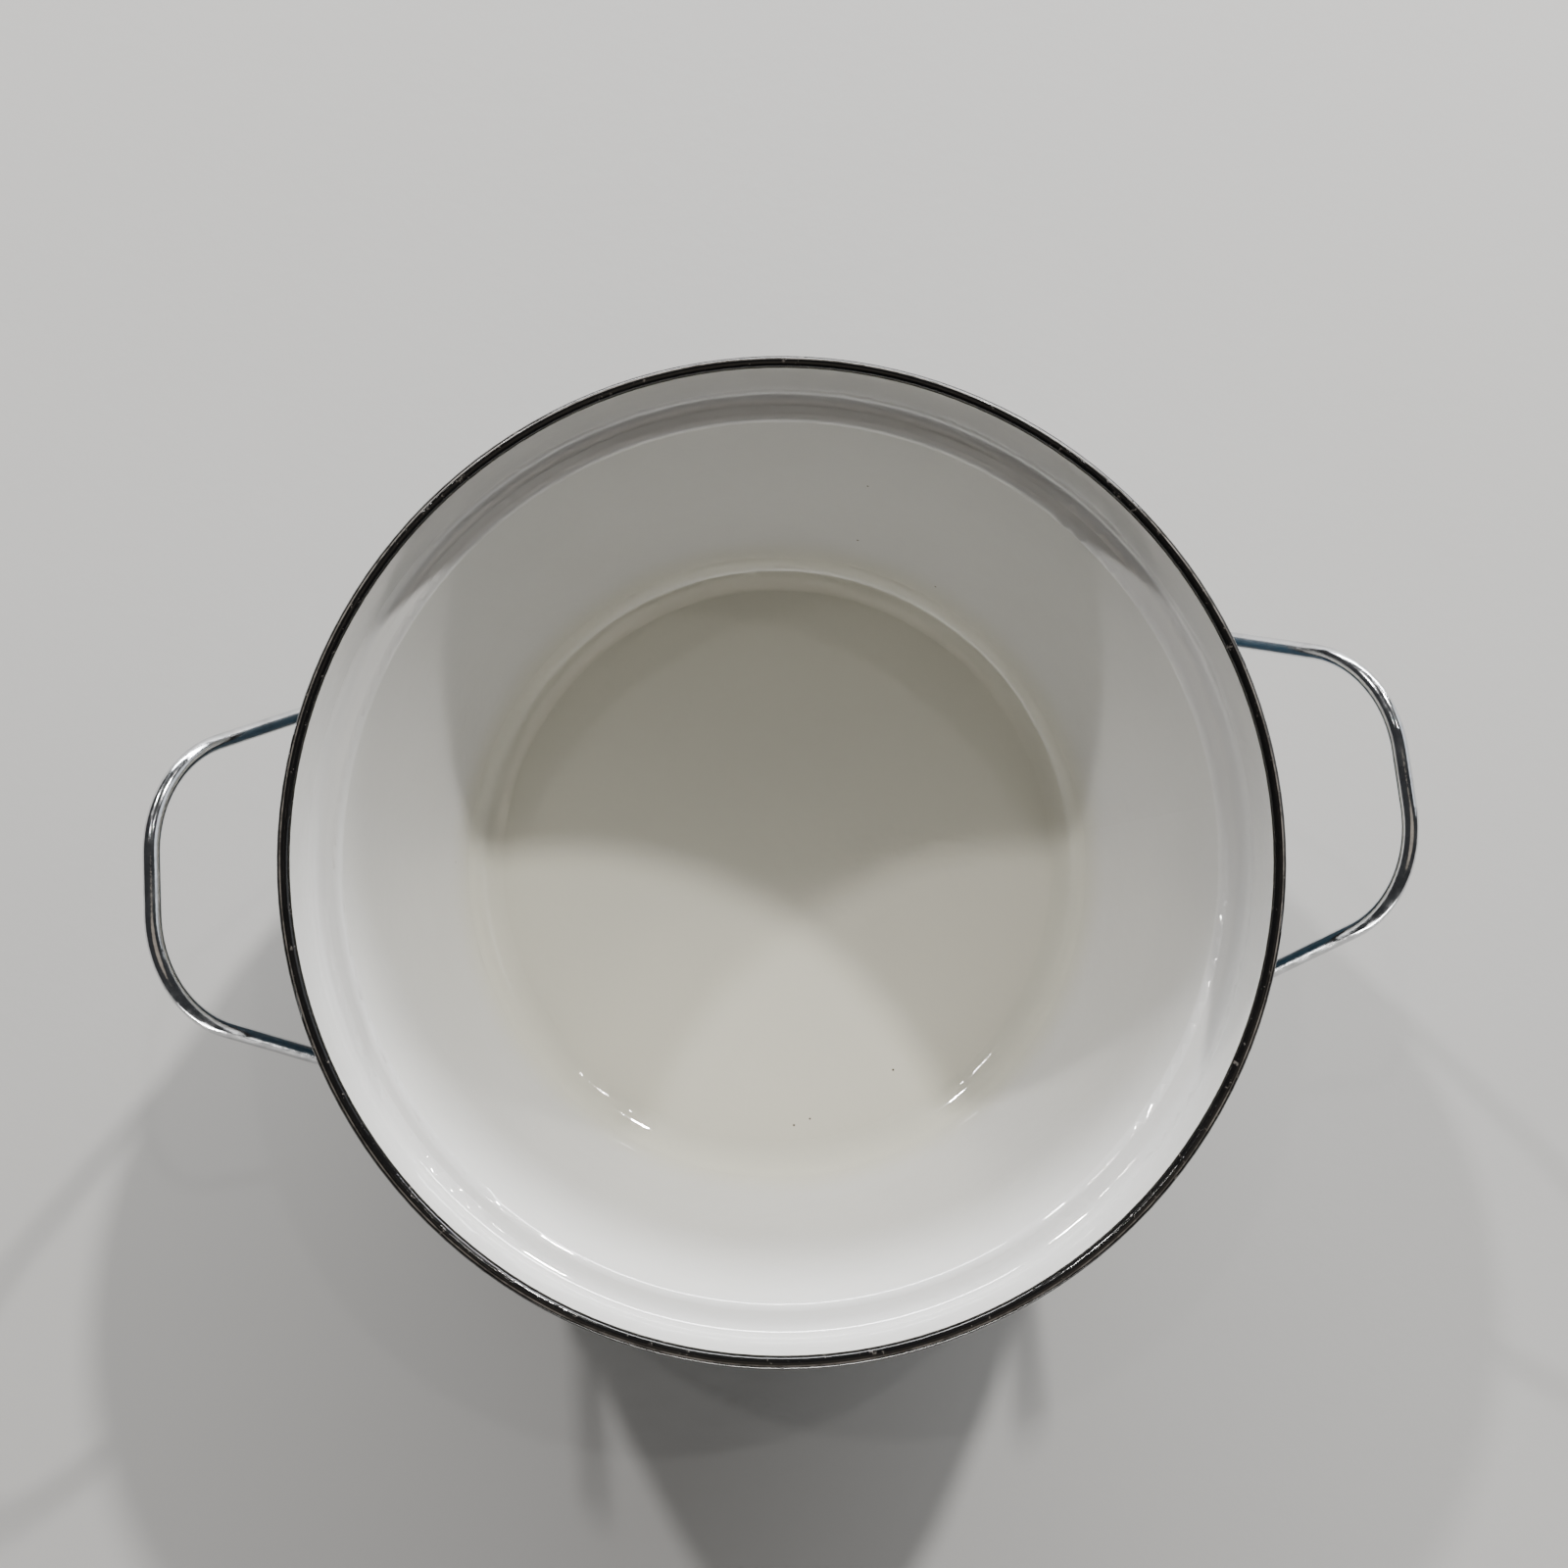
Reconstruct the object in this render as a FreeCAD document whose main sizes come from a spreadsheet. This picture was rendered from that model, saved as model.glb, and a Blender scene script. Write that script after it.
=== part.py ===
import FreeCAD, Part
import math
import os
import Sketcher
from FreeCAD import Placement, Rotation, Vector

# Enamelled cast iron dutch oven without its lid. Millimetres, +Z up, mouth up.
# The origin is the centre of the foot, on the surface that the pot stands on.
# The two wire handles are on +X and -X, and they turn on pins parallel to Y.

os.makedirs("parts", exist_ok=True)
doc = FreeCAD.newDocument("DutchOven")

# ---- driving dimensions -------------------------------------------------------------------------

DIMENSIONS = [
    ("total_height", 120.0, "foot to the top of the rim"),
    ("collar_radius", 132.4, "enamelled inside radius of the lid seat"),
    ("collar_wall", 3.4, "finished thickness of the collar"),
    ("ledge_depth", 22.5, "rim to the ledge that a lid rests on"),
    ("ledge_thickness", 4.0, "finished thickness of the ledge"),
    ("throat_radius", 124.5, "inside radius where the ledge meets the tapered wall"),
    ("wall_taper", 14.0, "draft of the tapered wall, degrees"),
    ("wall_thickness", 4.1, "finished thickness of the tapered wall, measured level"),
    ("floor_level", 5.2, "enamelled cooking surface above the table"),
    ("underside_level", 0.8, "enamelled underside above the table"),
    ("enamel", 0.4, "thickness of every enamel coat"),
    ("rim_band_inside", 1.7, "how far the black band reaches down inside the collar"),
    ("rim_band_outside", 3.0, "how far the black band reaches down outside the collar"),
    ("rim_round", 1.65, "rounding of the two enamelled rim edges"),
    ("rim_iron_round", 1.0, "rounding of the two rim edges of the casting, under the enamel"),
    ("seat_round", 4.0, "inside corner between the collar and the ledge"),
    ("throat_round", 2.5, "edge between the ledge and the tapered wall"),
    ("floor_round", 10.5, "inside corner between the tapered wall and the floor"),
    ("shoulder_round", 6.0, "outside edge under the collar"),
    ("neck_round", 3.0, "outside corner between the shoulder and the tapered wall"),
    ("base_round", 8.0, "outside edge between the tapered wall and the underside"),
    ("foot_inner_radius", 86.0, "inside of the bare ground foot ring"),
    ("foot_outer_radius", 95.0, "outside of the bare ground foot ring"),
    ("pivot_reach", 124.0, "X of the handle pins"),
    ("pivot_height", 83.0, "Z of the handle pins"),
    ("lug_radius", 5.4, "round end of a lug, about its pin hole"),
    ("lug_width", 8.0, "width of a lug along Y"),
    ("lug_centre", 41.5, "Y of the middle of a lug"),
    ("lug_edge_round", 1.0, "rounding of the edges of a lug"),
    ("lug_root_round", 2.4, "inside corner between a lug and the wall"),
    ("wire_diameter", 4.2, "chromed steel wire of the handles"),
    ("pin_clearance", 0.3, "gap all round a handle pin in its hole"),
    ("enamel_setback", 0.4, "bare iron left round the mouth of each pin hole"),
    ("pin_end", 36.4, "Y of the free end of a handle pin"),
    ("pin_end_round", 0.8, "rounded end of a handle pin"),
    ("hook_round", 4.5, "bend from the pin into the leg, to the middle of the wire"),
    ("handle_length", 69.0, "pin to the middle of the grip"),
    ("handle_foot", 53.3, "half width where the legs would meet the pin line"),
    ("leg_angle", 18.3, "how much each leg leans in towards the grip, degrees"),
    ("grip_round", 32.0, "bend from a leg into the grip, to the middle of the wire"),
    ("handle_rise", 58.5, "slope of the raised handles above level, degrees"),
]

sheet = doc.addObject("Spreadsheet::Sheet", "dims")
for row, (alias, size, meaning) in enumerate(DIMENSIONS, start=1):
    sheet.set(f"A{row}", alias)
    sheet.set(f"B{row}", str(size))
    sheet.set(f"C{row}", meaning)
    sheet.setAlias(f"B{row}", alias)
doc.recompute()


def value(expression):
    """The number that an expression over the spreadsheet gives."""
    result = sheet.evalExpression(expression)
    return float(getattr(result, "Value", result))


# ---- sketch helpers -----------------------------------------------------------------------------

ORIGIN = (-1, 1)
VERTICAL_AXIS = -2
LINE_START = 1
LINE_END = 2


def origin_plane(body, role):
    """One of a body's own origin planes, such as XZ_Plane."""
    return next(plane for plane in body.Origin.OriginFeatures if plane.Role == role)


def new_sketch(body, name, role, offset=None):
    """A sketch on an origin plane, moved along that plane's normal by an expression."""
    sketch = body.newObject("Sketcher::SketchObject", name)
    sketch.AttachmentSupport = [(origin_plane(body, role), "")]
    sketch.MapMode = "FlatFace"
    if offset is not None:
        sketch.setExpression("AttachmentOffset.Base.z", offset)
    return sketch


def bind(sketch, kind, *target, expression):
    """A dimension of a sketch whose size is an expression over the spreadsheet."""
    index = sketch.addConstraint(Sketcher.Constraint(kind, *target, value(expression)))
    sketch.setExpression(f"Constraints[{index}]", expression)


def place_point(sketch, geometry, end, x, y):
    """Ties one point of a sketch to expressions for its two coordinates."""
    if x == "0":
        sketch.addConstraint(Sketcher.Constraint("PointOnObject", geometry, end, VERTICAL_AXIS))
    else:
        bind(sketch, "DistanceX", *ORIGIN, geometry, end, expression=x)
    bind(sketch, "DistanceY", *ORIGIN, geometry, end, expression=y)


def closed_outline(sketch, corners):
    """A closed outline of straight lines through corners given as pairs of expressions."""
    points = [Vector(value(x), value(y), 0) for x, y in corners]
    count = len(points)
    first = sketch.GeometryCount
    for index in range(count):
        sketch.addGeometry(Part.LineSegment(points[index], points[(index + 1) % count]))
    for index, (x, y) in enumerate(corners):
        previous = first + (index - 1) % count
        sketch.addConstraint(
            Sketcher.Constraint("Coincident", previous, LINE_END, first + index, LINE_START)
        )
        place_point(sketch, first + index, LINE_START, x, y)


# ---- turned solids ------------------------------------------------------------------------------


def is_circle(edge, radius):
    """Whether an edge is a circle, or part of one, of a given radius."""
    return isinstance(edge.Curve, Part.Circle) and abs(edge.Curve.Radius - radius) < 0.01


def ring_edges(shape, radius, height):
    """Names of the circular edges about Z that have a given radius and height."""
    return [
        f"Edge{index}"
        for index, edge in enumerate(shape.Edges, start=1)
        if is_circle(edge, radius) and edge.Curve.Center.distanceToPoint(Vector(0, 0, height)) < 0.01
    ]


def turned_body(name, corners, rounds, sweep=360.0):
    """A body turned about Z from an outline of (radius, height), with some corners rounded."""
    body = doc.addObject("PartDesign::Body", name)
    sketch = new_sketch(body, f"{name}_outline", "XZ_Plane")
    closed_outline(sketch, corners)
    turned = body.newObject("PartDesign::Revolution", f"{name}_turned")
    turned.Profile = sketch
    turned.ReferenceAxis = (sketch, ["V_Axis"])
    turned.Angle = sweep
    doc.recompute()
    for number, ((radius, height), size) in enumerate(rounds, start=1):
        base = body.Tip
        edges = ring_edges(base.Shape, value(radius), value(height))
        fillet = body.newObject("PartDesign::Fillet", f"{name}_round_{number}")
        fillet.Base = (base, edges)
        fillet.setExpression("Radius", size)
        body.Tip = fillet
        doc.recompute()
    return body


LEDGE_LEVEL = "dims.total_height - dims.ledge_depth"
SHOULDER_LEVEL = f"{LEDGE_LEVEL} - dims.ledge_thickness"
TAPER = "tan(dims.wall_taper * 1 deg)"
LEVEL_ENAMEL = "dims.enamel / cos(dims.wall_taper * 1 deg)"
IRON_TOP = "dims.total_height - dims.enamel"


def wall_radius(height, extra="0"):
    """Inside radius of the tapered wall at a height, plus an extra measured level."""
    return f"dims.throat_radius - ({LEDGE_LEVEL} - ({height})) * {TAPER} + {extra}"


def cavity_body(name, coat):
    """The space inside the pot, up past the rim. coat is 1 for bare iron and 0 when enamelled."""
    skin = f"{coat} * dims.enamel"
    level_skin = f"{coat} * {LEVEL_ENAMEL}"
    top = "dims.total_height + 5"
    floor = f"dims.floor_level - {skin}"
    ledge = f"{LEDGE_LEVEL} - {skin}"
    collar = f"dims.collar_radius + {skin}"
    seat_corner = (collar, ledge)
    throat_corner = (wall_radius(ledge, level_skin), ledge)
    floor_corner = (wall_radius(floor, level_skin), floor)
    return turned_body(
        name,
        [("0", top), ("0", floor), floor_corner, throat_corner, seat_corner, (collar, top)],
        [
            (seat_corner, f"dims.seat_round + {skin}"),
            (throat_corner, f"dims.throat_round - {skin}"),
            (floor_corner, f"dims.floor_round + {skin}"),
        ],
    )


def outside_body(name, coat):
    """The pot's outside as one solid. coat is 1 for bare iron and 0 when enamelled."""
    skin = f"{coat} * dims.enamel"
    level_skin = f"dims.wall_thickness - {coat} * {LEVEL_ENAMEL}"
    top = f"dims.total_height - {skin}"
    collar = f"dims.collar_radius + dims.collar_wall - {skin}"
    shoulder = f"{SHOULDER_LEVEL} + {skin}"
    underside = f"dims.underside_level + {skin}"
    shoulder_corner = (collar, shoulder)
    neck_corner = (wall_radius(shoulder, level_skin), shoulder)
    base_corner = (wall_radius(underside, level_skin), underside)
    foot_ring = [
        ("dims.foot_outer_radius", underside),
        ("dims.foot_outer_radius", "0"),
        ("dims.foot_inner_radius", "0"),
        ("dims.foot_inner_radius", underside),
    ]
    return turned_body(
        name,
        [("0", top), (collar, top), shoulder_corner, neck_corner, base_corner]
        + (foot_ring if coat else [])
        + [("0", underside)],
        [
            (shoulder_corner, f"dims.shoulder_round - {skin}"),
            (neck_corner, f"dims.neck_round + {skin}"),
            (base_corner, f"dims.base_round - {skin}"),
        ],
    )


# ---- lugs that carry the handle pins ------------------------------------------------------------


def lug_body(name, coat):
    """The lug at +X +Y, with its pin hole along Y. coat is 1 for bare iron, 0 when enamelled."""
    growth = f"(1 - {coat}) * dims.enamel"
    radius = f"dims.lug_radius + {growth}"
    hole = f"dims.wire_diameter / 2 + dims.pin_clearance + (1 - {coat}) * dims.enamel_setback"
    root = "dims.pivot_reach - 18"
    body = doc.addObject("PartDesign::Body", name)
    sketch = new_sketch(body, f"{name}_outline", "XZ_Plane", "-dims.lug_centre")
    reach, height, size = value("dims.pivot_reach"), value("dims.pivot_height"), value(radius)
    low = Vector(reach, height - size, 0)
    high = Vector(reach, height + size, 0)
    low_root = Vector(value(root), height - size, 0)
    high_root = Vector(value(root), height + size, 0)
    centre = Vector(reach, height, 0)
    circle = Part.Circle(centre, Vector(0, 0, 1), size)
    bottom, front, top, back = sketch.addGeometry(
        [
            Part.LineSegment(low_root, low),
            Part.ArcOfCircle(circle, -math.pi / 2, math.pi / 2),
            Part.LineSegment(high, high_root),
            Part.LineSegment(high_root, low_root),
        ]
    )
    drilled = sketch.addGeometry(Part.Circle(centre, Vector(0, 0, 1), value(hole)))
    sketch.addConstraint(
        [
            Sketcher.Constraint("Tangent", bottom, LINE_END, front, LINE_START),
            Sketcher.Constraint("Tangent", front, LINE_END, top, LINE_START),
            Sketcher.Constraint("Coincident", top, LINE_END, back, LINE_START),
            Sketcher.Constraint("Coincident", back, LINE_END, bottom, LINE_START),
            Sketcher.Constraint("Vertical", back),
            Sketcher.Constraint("Horizontal", top),
            Sketcher.Constraint("Coincident", drilled, 3, front, 3),
        ]
    )
    bind(sketch, "DistanceX", *ORIGIN, front, 3, expression="dims.pivot_reach")
    bind(sketch, "DistanceY", *ORIGIN, front, 3, expression="dims.pivot_height")
    bind(sketch, "DistanceX", *ORIGIN, back, LINE_START, expression=root)
    bind(sketch, "Radius", front, expression=radius)
    bind(sketch, "Radius", drilled, expression=hole)
    pad = body.newObject("PartDesign::Pad", f"{name}_pad")
    pad.Profile = sketch
    pad.Midplane = True
    pad.setExpression("Length", f"dims.lug_width + 2 * {growth}")
    doc.recompute()

    def is_outline(edge):
        in_side = edge.BoundBox.YLength < 0.01 and edge.BoundBox.XMax > value(root) + 0.01
        return in_side and not is_circle(edge, value(hole))

    outline = [f"Edge{index}" for index, edge in enumerate(pad.Shape.Edges, start=1) if is_outline(edge)]
    fillet = body.newObject("PartDesign::Fillet", f"{name}_edges")
    fillet.Base = (pad, outline)
    fillet.setExpression("Radius", f"dims.lug_edge_round + {growth}")
    body.Tip = fillet
    doc.recompute()
    return body


def mirrored(source, name, normal):
    """The mirror image of an object in the plane through the origin with a given normal."""
    mirror = doc.addObject("Part::Mirroring", name)
    mirror.Source = source
    mirror.Base = Vector(0, 0, 0)
    mirror.Normal = normal
    return mirror


def fused(name, *pieces, refine=True):
    """One solid joined from several. refine merges the faces that continue one another."""
    fuse = doc.addObject("Part::MultiFuse", name)
    fuse.Shapes = list(pieces)
    fuse.Refine = refine
    return fuse


def with_mirror(name, half, normal):
    """A solid joined to its mirror image, which it touches, with their faces kept apart."""
    return fused(name, half, mirrored(half, f"{name}_other_side", normal), refine=False)


def cut(name, base, tool):
    """A solid with another taken out of it."""
    result = doc.addObject("Part::Cut", name)
    result.Base = base
    result.Tool = tool
    return result


def common(name, base, tool):
    """The part of one solid that lies inside another."""
    result = doc.addObject("Part::Common", name)
    result.Base = base
    result.Tool = tool
    return result


def rounded(name, base, is_edge, radius):
    """A solid with the edges that pass a test rounded to an expression's radius."""
    doc.recompute()
    fillet = doc.addObject("Part::Fillet", name)
    fillet.Base = base
    edges = enumerate(base.Shape.Edges, start=1)
    size = value(radius)
    fillet.Edges = [(index, size, size) for index, edge in edges if is_edge(edge)]
    doc.recompute()
    return fillet


def shell_outside(name, coat):
    """The pot's outside with its four lugs blended in."""
    turned = outside_body(f"{name}_turned", coat)
    lug = lug_body(f"{name}_lug", coat)
    lug_pair = fused(f"{name}_lug_pair", lug, mirrored(lug, f"{name}_lug_rear", Vector(0, 1, 0)))
    other_pair = mirrored(lug_pair, f"{name}_lug_pair_left", Vector(1, 0, 0))
    joined = fused(f"{name}_joined", turned, lug_pair, other_pair)
    level_skin = f"dims.wall_thickness - {coat} * {LEVEL_ENAMEL}"

    def at_lug_root(edge):
        middle = edge.valueAt((edge.FirstParameter + edge.LastParameter) / 2)
        points = [vertex.Point for vertex in edge.Vertexes] + [middle]
        near_lug = all(
            abs(point.z - value("dims.pivot_height")) < value("dims.lug_radius") + 1
            and abs(abs(point.y) - value("dims.lug_centre")) < value("dims.lug_width")
            for point in points
        )
        return near_lug and all(
            abs(math.hypot(point.x, point.y) - value(wall_radius(str(point.z), level_skin))) < 0.01
            for point in points
        )

    return rounded(name, joined, at_lug_root, f"dims.lug_root_round - (1 - {coat}) * dims.enamel")


iron_outside = shell_outside("iron_outside", coat=1)
glazed_outside = shell_outside("glazed_outside", coat=0)
iron_cavity = cavity_body("iron_cavity", coat=1)
glazed_cavity = cavity_body("glazed_cavity", coat=0)


# ---- casting and enamel -------------------------------------------------------------------------


def on_rim_top(edge):
    """Whether an edge is one of the two circles at the top of the casting's rim."""
    top = value(IRON_TOP)
    return isinstance(edge.Curve, Part.Circle) and abs(edge.Curve.Center.z - top) < 0.01


def disc(name, radius, bottom, height):
    """A cylinder about Z sized by expressions, used to end the enamel coats."""
    cylinder = doc.addObject("Part::Cylinder", name)
    cylinder.setExpression("Radius", radius)
    cylinder.setExpression("Height", height)
    cylinder.setExpression("Placement.Base.z", bottom)
    return cylinder


def rim_band(name):
    """The black band, which caps the wall and reaches a little way down both sides.

    An eighth is turned and mirrored into the full ring, which keeps each face of the thin band short.
    """
    top = "dims.total_height"
    inside_end = f"{top} - dims.rim_band_inside"
    outside_end = f"{top} - dims.rim_band_outside"
    inside = "dims.collar_radius"
    outside = "dims.collar_radius + dims.collar_wall"
    iron_inside = f"{inside} + dims.enamel"
    iron_outside = f"{outside} - dims.enamel"
    eighth = turned_body(
        f"{name}_eighth",
        [
            (inside, inside_end),
            (inside, top),
            (outside, top),
            (outside, outside_end),
            (iron_outside, outside_end),
            (iron_outside, IRON_TOP),
            (iron_inside, IRON_TOP),
            (iron_inside, inside_end),
        ],
        [
            ((inside, top), "dims.rim_round"),
            ((outside, top), "dims.rim_round"),
            ((iron_inside, IRON_TOP), "dims.rim_iron_round"),
            ((iron_outside, IRON_TOP), "dims.rim_iron_round"),
        ],
        sweep=45.0,
    )
    quarter = with_mirror(f"{name}_quarter", eighth, Vector(1, -1, 0))
    half = with_mirror(f"{name}_half", quarter, Vector(1, 0, 0))
    return with_mirror(name, half, Vector(0, 1, 0))


iron_shell = cut("iron_shell", iron_outside, iron_cavity)
pot_casting = rounded("pot_casting", iron_shell, on_rim_top, "dims.rim_iron_round")
rim_enamel = rim_band("rim_enamel")

beyond_pot = "dims.collar_radius + 40"
above_lining = disc(
    "above_lining", beyond_pot, "dims.total_height - dims.rim_band_inside", "dims.rim_band_inside + 10"
)
above_coat = disc(
    "above_coat", beyond_pot, "dims.total_height - dims.rim_band_outside", "dims.rim_band_outside + 10"
)
inside_foot = disc(
    "inside_foot", "(dims.foot_inner_radius + dims.foot_outer_radius) / 2", "-1", "dims.underside_level + 2"
)
interior_enamel = cut("interior_enamel", cut("lining", iron_cavity, glazed_cavity), above_lining)
outer_coat = cut("outer_coat", glazed_outside, iron_outside)
exterior_enamel = cut("exterior_enamel", cut("side_coat", outer_coat, above_coat), inside_foot)
underside_enamel = common("underside_enamel", outer_coat, inside_foot)

# ---- wire handles -------------------------------------------------------------------------------


HOOK_HALF = "dims.handle_foot - dims.hook_round * tan(45 deg + dims.leg_angle * 0.5 deg)"
LEG_SPREAD = "dims.handle_foot - dims.handle_length * tan(dims.leg_angle * 1 deg)"
GRIP_HALF = f"{LEG_SPREAD} - dims.grip_round * tan(45 deg - dims.leg_angle * 0.5 deg)"


def handle_path(sketch):
    """The middle line of the wire, from one pin round the grip to the other pin.

    Sketch X runs from the pin line to the grip, and the pins lie along sketch Y.
    """
    lean = math.radians(value("dims.leg_angle"))
    right_angle = math.pi / 2
    length, pin_end = value("dims.handle_length"), value("dims.pin_end")
    hook, grip = value("dims.hook_round"), value("dims.grip_round")
    hook_half, grip_half = value(HOOK_HALF), value(GRIP_HALF)
    bends = [
        (hook, Vector(hook, -hook_half, 0), -math.pi, lean - right_angle),
        (grip, Vector(length - grip, -grip_half, 0), lean - right_angle, 0),
        (grip, Vector(length - grip, grip_half, 0), 0, right_angle - lean),
        (hook, Vector(hook, hook_half, 0), right_angle - lean, math.pi),
    ]
    arcs = [
        Part.ArcOfCircle(Part.Circle(centre, Vector(0, 0, 1), radius), start, end)
        for radius, centre, start, end in bends
    ]
    path = []
    reached = Vector(0, -pin_end, 0)
    for arc in arcs:
        path += [Part.LineSegment(reached, arc.StartPoint), arc]
        reached = arc.EndPoint
    path.append(Part.LineSegment(reached, Vector(0, pin_end, 0)))
    pin, near_hook, _, near_bend, middle, far_bend, _, far_hook, far_pin = sketch.addGeometry(path)
    for index in range(len(path) - 1):
        sketch.addConstraint(
            Sketcher.Constraint("Tangent", pin + index, LINE_END, pin + index + 1, LINE_START)
        )
    for arc, radius in [
        (near_hook, "dims.hook_round"),
        (near_bend, "dims.grip_round"),
        (far_bend, "dims.grip_round"),
        (far_hook, "dims.hook_round"),
    ]:
        bind(sketch, "Radius", arc, expression=radius)
    place_point(sketch, pin, LINE_START, "0", "-dims.pin_end")
    place_point(sketch, pin, LINE_END, "0", f"-({HOOK_HALF})")
    place_point(sketch, middle, LINE_START, "dims.handle_length", f"-({GRIP_HALF})")
    place_point(sketch, middle, LINE_END, "dims.handle_length", GRIP_HALF)
    place_point(sketch, far_pin, LINE_START, "0", HOOK_HALF)
    place_point(sketch, far_pin, LINE_END, "0", "dims.pin_end")


def handle_body(name, turn):
    """A wire handle. turn is the expression for its angle about Y, from lying level towards +X."""
    body = doc.addObject("PartDesign::Body", name)
    path = new_sketch(body, f"{name}_path", "XY_Plane")
    handle_path(path)
    section = new_sketch(body, f"{name}_section", "XZ_Plane", "dims.pin_end")
    wire = section.addGeometry(Part.Circle(Vector(0, 0, 0), Vector(0, 0, 1), value("dims.wire_diameter / 2")))
    section.addConstraint(Sketcher.Constraint("Coincident", wire, 3, *ORIGIN))
    bind(section, "Radius", wire, expression="dims.wire_diameter / 2")
    doc.recompute()
    pipe = body.newObject("PartDesign::AdditivePipe", f"{name}_wire")
    pipe.Profile = section
    pipe.Spine = (path, [f"Edge{index + 1}" for index in range(len(path.Shape.Edges))])
    doc.recompute()
    ends = [
        f"Edge{index}"
        for index, edge in enumerate(pipe.Shape.Edges, start=1)
        if edge.BoundBox.YLength < 0.01 and abs(abs(edge.BoundBox.YMax) - value("dims.pin_end")) < 0.01
    ]
    fillet = body.newObject("PartDesign::Fillet", f"{name}_ends")
    fillet.Base = (pipe, ends)
    fillet.setExpression("Radius", "dims.pin_end_round")
    body.Tip = fillet
    body.Placement = Placement(Vector(0, 0, 0), Rotation(Vector(0, 1, 0), 1))
    body.setExpression("Placement.Base.z", "dims.pivot_height")
    body.setExpression("Placement.Rotation.Angle", turn)
    doc.recompute()
    return body


handle_right = handle_body("handle_right", "-dims.handle_rise")
handle_right.setExpression("Placement.Base.x", "dims.pivot_reach")
handle_left = handle_body("handle_left", "180 + dims.handle_rise")
handle_left.setExpression("Placement.Base.x", "-dims.pivot_reach")
doc.recompute()

# ---- check and write ----------------------------------------------------------------------------

NODES = [
    pot_casting,
    interior_enamel,
    rim_enamel,
    exterior_enamel,
    underside_enamel,
    handle_left,
    handle_right,
]

for item in doc.Objects:
    if "Invalid" in item.State or "Error" in item.State:
        raise RuntimeError(f"{item.Name} did not build: {item.State}")
for node in NODES:
    shape = node.Shape
    if shape.isNull() or not shape.isValid() or len(shape.Solids) != 1:
        raise RuntimeError(f"{node.Name} is not one valid solid")
    shape.exportStep(f"parts/{node.Label}.step")
    print(f"{node.Label}: {shape.Volume / 1000:.2f} cm3, {len(shape.Faces)} faces")
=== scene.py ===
import math

import bpy
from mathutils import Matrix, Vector

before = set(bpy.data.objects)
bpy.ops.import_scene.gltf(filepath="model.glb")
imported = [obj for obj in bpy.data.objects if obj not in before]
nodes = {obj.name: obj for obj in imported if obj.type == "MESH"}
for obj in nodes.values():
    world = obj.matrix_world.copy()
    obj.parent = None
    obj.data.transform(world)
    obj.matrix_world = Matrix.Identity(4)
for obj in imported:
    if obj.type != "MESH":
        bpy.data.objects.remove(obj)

# The enamelled pot and its two wire handles. Every CAD node keeps its own mesh and gets a
# procedural material. All lengths are in metres, and noise scales are in features per metre.

scene = bpy.context.scene
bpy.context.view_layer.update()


# ---- node helpers -------------------------------------------------------------------------------


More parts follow.
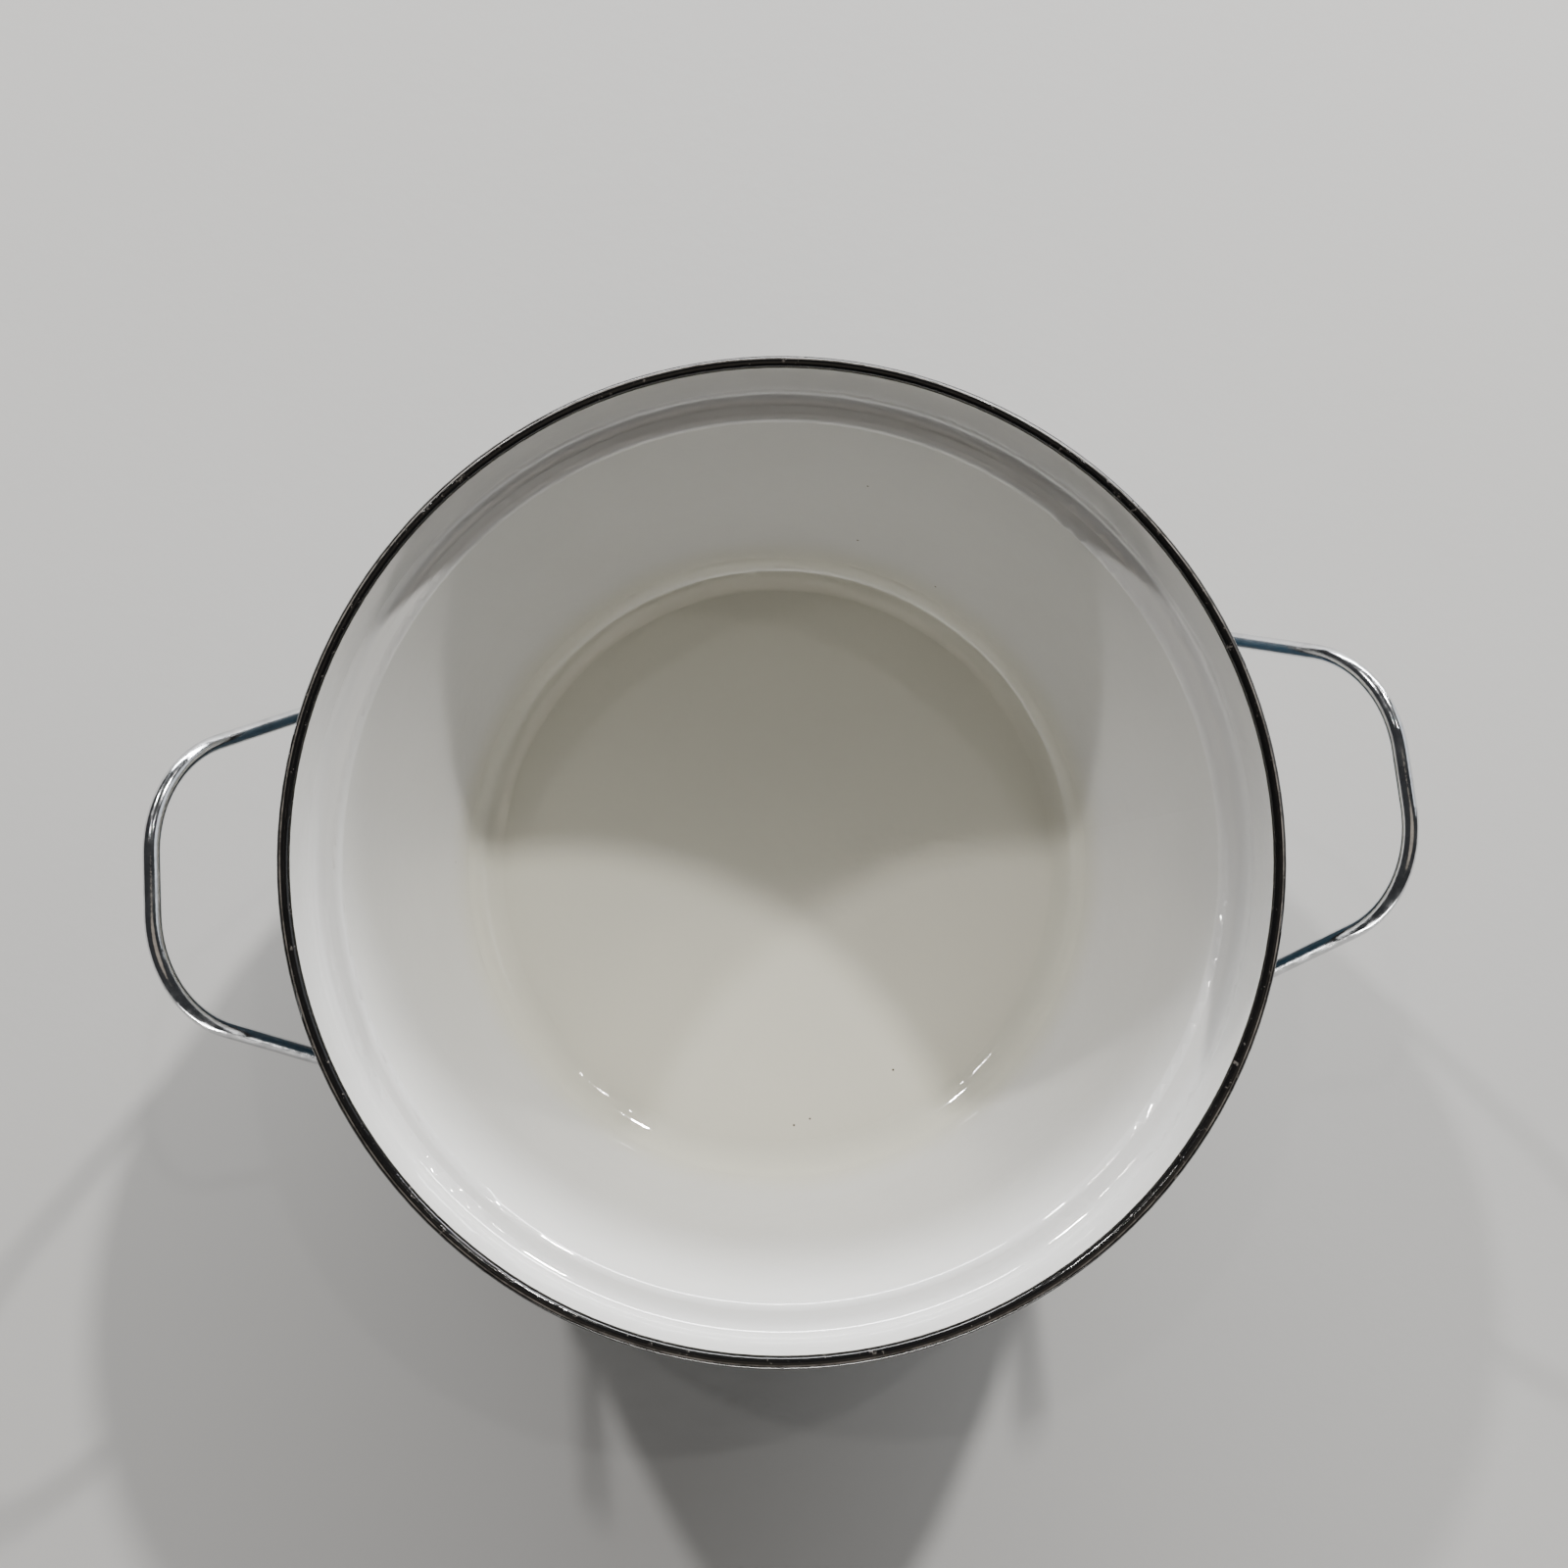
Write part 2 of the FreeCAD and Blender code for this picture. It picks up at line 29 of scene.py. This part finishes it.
class Material:
    """A procedural material: a short way to add nodes and join their sockets."""

    def __init__(self, name):
        self.material = bpy.data.materials.new(name)
        self.material.use_nodes = True
        self.tree = self.material.node_tree
        self.surface = self.tree.nodes["Principled BSDF"]
        coordinates = self.add("ShaderNodeTexCoord")
        self.place = coordinates.outputs["Object"]
        self.split = None

    def add(self, kind, inputs=None, **settings):
        """A new node, with its settings and with values or links for its inputs."""
        node = self.tree.nodes.new(kind)
        for key, value in settings.items():
            setattr(node, key, value)
        for key, value in (inputs or {}).items():
            self.feed(node.inputs[key], value)
        return node

    def feed(self, socket, value):
        """Links a socket to another node's output, or sets its value."""
        if isinstance(value, bpy.types.NodeSocket):
            self.tree.links.new(value, socket)
        else:
            socket.default_value = value

    def math(self, operation, first, second):
        node = self.add("ShaderNodeMath", operation=operation)
        self.feed(node.inputs[0], first)
        self.feed(node.inputs[1], second)
        return node.outputs[0]

    def noise(self, scale, detail=2.0, roughness=0.5, place=None):
        inputs = {
            "Vector": place or self.place,
            "Scale": scale,
            "Detail": detail,
            "Roughness": roughness,
        }
        return self.add("ShaderNodeTexNoise", inputs).outputs["Fac"]

    def cells(self, scale):
        """Distance to the nearest of many scattered points, for specks."""
        inputs = {"Vector": self.place, "Scale": scale}
        return self.add("ShaderNodeTexVoronoi", inputs).outputs["Distance"]

    def step(self, value, low, high, out_low=0.0, out_high=1.0):
        """value mapped smoothly from low..high onto out_low..out_high."""
        inputs = {
            "Value": value,
            "From Min": low,
            "From Max": high,
            "To Min": out_low,
            "To Max": out_high,
        }
        node = self.add("ShaderNodeMapRange", inputs, interpolation_type="SMOOTHSTEP")
        return node.outputs["Result"]

    def stretched(self, scale):
        """The object's coordinates scaled along each axis, for drawing lines."""
        inputs = {"Vector": self.place, "Scale": scale}
        return self.add("ShaderNodeMapping", inputs).outputs["Vector"]

    def mix(self, share, first, second):
        node = self.add("ShaderNodeMix", data_type="RGBA")
        self.feed(node.inputs["Factor"], share)
        self.feed(node.inputs[6], first)
        self.feed(node.inputs[7], second)
        return node.outputs[2]

    def bump(self, height, distance, strength, normal=None):
        inputs = {"Height": height, "Distance": distance, "Strength": strength}
        if normal is not None:
            inputs["Normal"] = normal
        return self.add("ShaderNodeBump", inputs).outputs["Normal"]

    def axis(self, letter):
        """One coordinate of the surface point."""
        if self.split is None:
            self.split = self.add("ShaderNodeSeparateXYZ", {"Vector": self.place})
        return self.split.outputs[letter]

    def reach(self):
        """Distance of the surface point from the pot's axis."""
        across = self.math("POWER", self.axis("X"), 2.0)
        along = self.math("POWER", self.axis("Y"), 2.0)
        return self.math("SQRT", self.math("ADD", across, along), 0.0)

    def finish(self, **sockets):
        """Feeds the shader's sockets and returns the material."""
        for key, value in sockets.items():
            self.feed(self.surface.inputs[key.replace("_", " ")], value)
        return self.material


# ---- materials ----------------------------------------------------------------------------------


def white_enamel():
    """Glossy white glass, olive over the cooking surface, with a few dark specks."""
    m = Material("white_enamel")
    floor_share = m.step(m.axis("Z"), 0.006, 0.030, 1.0, 0.0)
    cloud = m.step(m.noise(9.0, 3.0, 0.5), 0.3, 0.7)
    base = m.mix(cloud, (0.745, 0.742, 0.725, 1.0), (0.785, 0.782, 0.77, 1.0))
    base = m.mix(floor_share, base, (0.722, 0.706, 0.60, 1.0))
    specks = m.step(m.cells(95.0), 0.022, 0.05, 1.0, 0.0)
    chosen = m.step(m.noise(38.0, 1.0), 0.63, 0.66)
    dirt = m.math("MULTIPLY", specks, chosen)
    base = m.mix(dirt, base, (0.10, 0.08, 0.055, 1.0))
    rubbed = m.step(m.noise(26.0, 5.0, 0.65), 0.45, 0.8, 0.035, 0.09)
    ripple = m.bump(m.noise(42.0, 2.0, 0.4), 0.0012, 0.25)
    peel = m.bump(m.noise(330.0, 1.0, 0.4), 0.0003, 0.22, ripple)
    return m.finish(
        Base_Color=base,
        Roughness=rubbed,
        Normal=peel,
        IOR=1.6,
        Coat_Weight=0.9,
        Coat_Roughness=0.03,
        Coat_IOR=1.55,
        Coat_Normal=ripple,
    )


def black_enamel():
    """Glossy black, with a grey brown line just inside its outer edge that is partly real wear and
    partly a painted reflection, and with small chips.
    """
    m = Material("black_enamel")
    reach = m.reach()
    base = m.mix(m.noise(60.0, 2.0), (0.003, 0.003, 0.0035, 1.0), (0.008, 0.0075, 0.007, 1.0))
    # The grey brown ring on the rounded top is partly real wear and partly a painted reflection of
    # the room.
    line_start = m.step(reach, 0.1343, 0.1345)
    line_end = m.step(reach, 0.1347, 0.1349, 1.0, 0.0)
    edge = m.math("MULTIPLY", line_start, line_end)
    line_breakup = m.step(m.noise(130.0, 5.0, 0.7), 0.38, 0.62)
    reflection_and_wear_strength = m.math("ADD", m.math("MULTIPLY", line_breakup, 0.55), 0.3)
    wear_and_painted_reflection = m.math("MULTIPLY", edge, reflection_and_wear_strength)
    chips = m.math("MULTIPLY", m.step(m.noise(420.0, 5.0, 0.7), 0.62, 0.67), 0.5)
    wear_and_painted_reflection = m.math("MAXIMUM", wear_and_painted_reflection, chips)
    # The grey brown mixed in here is real wear at the chips and a painted reflection along the
    # ring.
    base = m.mix(wear_and_painted_reflection, base, (0.20, 0.18, 0.16, 1.0))
    gloss = m.step(m.noise(90.0, 3.0), 0.3, 0.7, 0.06, 0.14)
    rough = m.math("ADD", gloss, m.math("MULTIPLY", wear_and_painted_reflection, 0.4))
    normal = m.bump(m.noise(260.0, 3.0, 0.55), 0.0004, 0.25)
    return m.finish(Base_Color=base, Roughness=rough, Normal=normal, IOR=1.5)


def blue_enamel():
    """Dark petrol blue, clouded and finely speckled, and darker towards the foot."""
    m = Material("blue_enamel")
    cloud = m.step(m.noise(14.0, 4.0, 0.55), 0.3, 0.7)
    base = m.mix(cloud, (0.003, 0.020, 0.036, 1.0), (0.005, 0.030, 0.050, 1.0))
    specks = m.step(m.cells(240.0), 0.03, 0.12, 1.0, 0.0)
    base = m.mix(m.math("MULTIPLY", specks, 0.35), base, (0.002, 0.010, 0.016, 1.0))
    low = m.step(m.axis("Z"), 0.004, 0.022, 1.0, 0.0)
    base = m.mix(m.math("MULTIPLY", low, 0.6), base, (0.003, 0.014, 0.022, 1.0))
    rough = m.step(m.noise(30.0, 5.0, 0.6), 0.4, 0.8, 0.06, 0.16)
    normal = m.bump(m.noise(36.0, 1.5, 0.4), 0.0012, 0.12)
    normal = m.bump(m.noise(190.0, 1.0), 0.0005, 0.07, normal)
    return m.finish(Base_Color=base, Roughness=rough, Normal=normal, IOR=1.52)


def ground_coat():
    """Satin black glass with pale flecks, under the pot."""
    m = Material("ground_coat")
    flecks = m.step(m.cells(420.0), 0.12, 0.2, 1.0, 0.0)
    base = m.mix(m.noise(35.0, 4.0), (0.012, 0.013, 0.016, 1.0), (0.03, 0.031, 0.034, 1.0))
    base = m.mix(m.math("MULTIPLY", flecks, 0.3), base, (0.10, 0.11, 0.12, 1.0))
    rough = m.step(m.noise(50.0, 4.0), 0.3, 0.7, 0.28, 0.45)
    normal = m.bump(m.noise(330.0, 3.0, 0.6), 0.0006, 0.35)
    return m.finish(Base_Color=base, Roughness=rough, Normal=normal)


def cast_iron():
    """Bare ground iron with a sandy grain and a little rust."""
    m = Material("cast_iron")
    grain = m.noise(900.0, 6.0, 0.7)
    base = m.mix(m.noise(120.0, 4.0), (0.035, 0.032, 0.030, 1.0), (0.085, 0.078, 0.072, 1.0))
    rust = m.step(m.noise(70.0, 5.0, 0.7), 0.58, 0.72)
    base = m.mix(m.math("MULTIPLY", rust, 0.5), base, (0.12, 0.05, 0.022, 1.0))
    rough = m.step(grain, 0.3, 0.7, 0.42, 0.66)
    normal = m.bump(grain, 0.0005, 0.45)
    return m.finish(Base_Color=base, Roughness=rough, Metallic=0.75, Normal=normal)


def chromed_wire():
    """Bright chrome with dull patches, pin-prick spots and faint drawing lines."""
    m = Material("chromed_wire")
    dull = m.step(m.noise(160.0, 5.0, 0.65), 0.4, 0.75)
    base = m.mix(dull, (0.72, 0.73, 0.75, 1.0), (0.52, 0.53, 0.55, 1.0))
    spots = m.math("MULTIPLY", m.step(m.cells(800.0), 0.05, 0.2, 1.0, 0.0), 0.35)
    base = m.mix(spots, base, (0.2, 0.17, 0.14, 1.0))
    rough = m.step(m.noise(240.0, 4.0, 0.6), 0.3, 0.8, 0.08, 0.26)
    drawn = m.noise(1.0, 3.0, 0.5, place=m.stretched((700.0, 700.0, 60.0)))
    normal = m.bump(drawn, 0.00012, 0.3)
    return m.finish(Base_Color=base, Roughness=rough, Metallic=1.0, Normal=normal)


def studio_floor():
    """Matt pale grey."""
    m = Material("studio_floor")
    base = m.mix(m.noise(3.0, 3.0), (0.60, 0.595, 0.58, 1.0), (0.64, 0.635, 0.625, 1.0))
    rough = m.step(m.noise(20.0, 3.0), 0.3, 0.7, 0.86, 0.94)
    normal = m.bump(m.noise(180.0, 4.0, 0.6), 0.0006, 0.1)
    return m.finish(
        Base_Color=base, Roughness=rough, Normal=normal, Specular_IOR_Level=0.15
    )


wire = chromed_wire()
finishes = {
    "interior_enamel": ("white_enamel", white_enamel()),
    "rim_enamel": ("black_enamel", black_enamel()),
    "exterior_enamel": ("blue_enamel", blue_enamel()),
    "underside_enamel": ("ground_coat", ground_coat()),
    "pot_casting": ("cast_iron", cast_iron()),
    "handle_left": ("chromed_wire", wire),
    "handle_right": ("chromed_wire", wire),
}

for name, (slot, material) in finishes.items():
    node = nodes[name]
    node.material_slots[0].link = "OBJECT"
    node.material_slots[0].material = material


# ---- studio -------------------------------------------------------------------------------------

FLOOR_SIZE = 14.0
FULL_SPREAD = 180.0

# Name, place, power in watts, width and height, colour, and spread in degrees. The lamps and the
# strip stand behind the pot. low_front lies below the rim, so that it lights only the outside.
LIGHTS = [
    ("lamp_right", (1.12, 1.73, 1.60), 56.0, (0.13, 0.13), (1.0, 0.98, 0.95), FULL_SPREAD),
    ("lamp_left", (-1.10, 2.03, 1.73), 37.0, (0.13, 0.13), (1.0, 0.98, 0.96), FULL_SPREAD),
    ("far_right", (1.45, 1.73, 4.24), 10.0, (0.13, 0.13), (1.0, 0.98, 0.95), FULL_SPREAD),
    ("far_left", (-1.17, 1.73, 4.10), 8.0, (0.13, 0.13), (1.0, 0.98, 0.95), FULL_SPREAD),
    ("strip_rear", (0.60, 2.30, 0.55), 130.0, (3.4, 0.3), (0.97, 0.985, 1.0), FULL_SPREAD),
    ("soft_front", (0.3, -0.9, 2.8), 5.0, (2.2, 2.2), (1.0, 0.86, 0.70), FULL_SPREAD),
    ("low_front", (0.0, -2.2, 0.06), 16.0, (3.6, 0.09), (1.0, 0.98, 0.95), 70.0),
    ("soft_right", (2.3, 0.6, 0.8), 7.0, (1.6, 1.6), (0.92, 0.96, 1.0), FULL_SPREAD),
]
LIGHT_TARGET = (0.0, 0.0, 0.06)

WORLD_COLOUR = (0.92, 0.95, 1.0, 1.0)
WORLD_STRENGTH = 0.05

# The camera looks down into the mouth from 0.42 m above the rim, a little towards -Y.
CAMERA_PLACE = (-0.01083, -0.02636, 0.54181)
CAMERA_DEGREES = (9.2, -1.13, -4.94)
CAMERA_LENS = 36.0
CAMERA_SENSOR = 36.0
CAMERA_SHIFT = -0.063
CAMERA_CLIP_START = 0.01


def add_floor():
    mesh = bpy.data.meshes.new("studio_floor")
    half = FLOOR_SIZE / 2
    corners = [(-half, -half, 0), (half, -half, 0), (half, half, 0), (-half, half, 0)]
    mesh.from_pydata(corners, [], [(0, 1, 2, 3)])
    mesh.materials.append(studio_floor())
    slab = bpy.data.objects.new("studio_floor", mesh)
    scene.collection.objects.link(slab)


def add_light(name, place, power, size, colour, spread):
    """An area light that faces the pot: round where it is as wide as high, else a rectangle."""
    width, height = size
    data = bpy.data.lights.new(name, "AREA")
    data.shape = "ELLIPSE" if width == height else "RECTANGLE"
    data.size = width
    data.size_y = height
    data.energy = power
    data.color = colour
    data.spread = math.radians(spread)
    light = bpy.data.objects.new(name, data)
    light.location = place
    light.rotation_mode = "QUATERNION"
    backwards = Vector(place) - Vector(LIGHT_TARGET)
    light.rotation_quaternion = backwards.to_track_quat("Z", "Y")
    scene.collection.objects.link(light)


def add_world():
    world = bpy.data.worlds.new("studio")
    world.use_nodes = True
    background = world.node_tree.nodes["Background"]
    background.inputs["Color"].default_value = WORLD_COLOUR
    background.inputs["Strength"].default_value = WORLD_STRENGTH
    scene.world = world


def add_camera():
    data = bpy.data.cameras.new("camera")
    data.lens = CAMERA_LENS
    data.sensor_width = CAMERA_SENSOR
    data.shift_y = CAMERA_SHIFT
    data.clip_start = CAMERA_CLIP_START
    camera = bpy.data.objects.new("camera", data)
    camera.location = CAMERA_PLACE
    camera.rotation_euler = [math.radians(turn) for turn in CAMERA_DEGREES]
    scene.collection.objects.link(camera)
    return camera


add_floor()
for light in LIGHTS:
    add_light(*light)
add_world()
scene.camera = add_camera()
